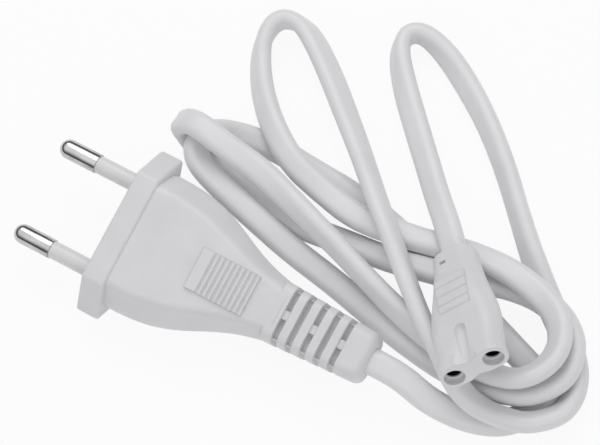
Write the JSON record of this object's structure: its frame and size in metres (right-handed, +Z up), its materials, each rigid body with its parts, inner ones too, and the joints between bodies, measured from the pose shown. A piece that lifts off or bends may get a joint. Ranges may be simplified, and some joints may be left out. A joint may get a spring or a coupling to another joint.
{
  "type": "figure eight power cord",
  "caption": "Mains cord with a flat two-pin plug, a flat two-core cord lying in loose folds and a figure-eight appliance connector.",
  "frame": {"origin": "middle of the plug's engagement face, halfway between the two pins", "axes": "-X along the pins, into the wall socket; +X along the plug towards the cord; +Z up from the table on which the cord lies; +Y to the side on which the cord is folded"},
  "size_m": [0.116, 0.0872, 0.0253],
  "materials": {
    "cord_sheath": "smooth soft PVC, satin",
    "plug_moulding": "moulded PVC, fine satin",
    "connector_moulding": "moulded PVC, fine satin",
    "pin_sleeve": "moulded, satin",
    "stiff_plastic": "moulded, plain",
    "plated_pin": "nickel plated brass, polished",
    "contact_brass": "bright",
    "copper": "stranded copper",
    "brown_core": "smooth PVC insulation",
    "blue_core": "smooth PVC insulation"
  },
  "bodies": {
    "root": {"cord": "cord_sheath", "plug_body": "plug_moulding", "plug_bridge": "stiff_plastic", "pin_right": "plated_pin", "pin_left": "plated_pin", "pin_sleeve_right": "pin_sleeve", "pin_sleeve_left": "pin_sleeve", "plug_copper_right": "copper", "plug_copper_left": "copper", "plug_core_right": "brown_core", "plug_core_left": "blue_core", "connector_body": "connector_moulding", "connector_insert": "stiff_plastic", "contact_right": "contact_brass", "contact_left": "contact_brass", "connector_copper_right": "copper", "connector_copper_left": "copper", "connector_core_right": "brown_core", "connector_core_left": "blue_core"}
  },
  "joints": []
}
